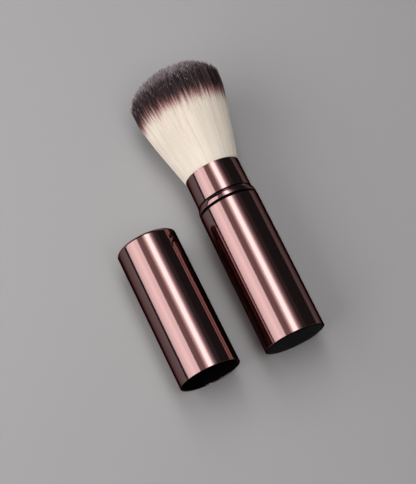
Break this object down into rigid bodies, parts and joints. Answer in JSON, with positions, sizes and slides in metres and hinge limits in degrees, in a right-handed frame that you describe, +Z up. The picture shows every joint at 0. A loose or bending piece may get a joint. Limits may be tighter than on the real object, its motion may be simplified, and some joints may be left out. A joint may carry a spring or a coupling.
{
  "type": "retractable makeup brush",
  "caption": "Round twist-up makeup brush with a domed, flared head that draws into its metal case, and a matching slip-on cap.",
  "frame": {"origin": "on the table, under the middle of the outer box of the brush and the cap as they lie", "axes": "+Y along the brush from its base to its hair, +Z up from the table, the cap lies on the -X side"},
  "size_m": [0.0634, 0.113, 0.0328],
  "materials": {
    "bronze_metal": "polished and lacquered rose bronze",
    "black_plastic": "black, satin",
    "drive_plastic": "natural acetal",
    "ring_rubber": "black rubber",
    "ring_steel": "spring steel",
    "ferrule_metal": "bright drawn",
    "hair_resin": "cured resin",
    "hair_fibre": "fine synthetic hair, cream with a tinted tip"
  },
  "bodies": {
    "handle": {"handle_shell": "bronze_metal", "base_plug": "black_plastic", "spiral_tube": "drive_plastic", "drag_ring": "ring_rubber", "thrust_washer": "black_plastic"},
    "neck": {"neck_shell": "bronze_metal", "collar_ring": "bronze_metal", "slot_tube": "black_plastic", "retaining_ring": "ring_steel"},
    "brush_head": {"carriage": "drive_plastic", "ferrule": "ferrule_metal", "resin_plug": "hair_resin", "bristle_head": "hair_fibre"},
    "cap": {"cap_shell": "bronze_metal", "cap_liner": "black_plastic"}
  },
  "joints": [
    {"name": "neck_twist", "type": "hinge", "parent": "handle", "child": "neck", "pos_m": [0.01303, -0.05613, 0.01149], "axis": [0, 0.9994, 0.0349], "range_deg": [0, 540]},
    {"name": "head_slide", "type": "slide", "parent": "neck", "child": "brush_head", "axis": [0, 0.9994, 0.0349], "range_m": [-0.0465, 0], "deforming": ["bristle_head"]},
    {"name": "cap_pull", "type": "slide", "parent": "handle", "child": "cap", "axis": [-0.0115, 0.9999, 0], "range_m": [0, 0.12]}
  ],
  "couplings": [
    {"joint": "head_slide", "follows": "neck_twist", "m_per_rad": -0.0049338}
  ]
}
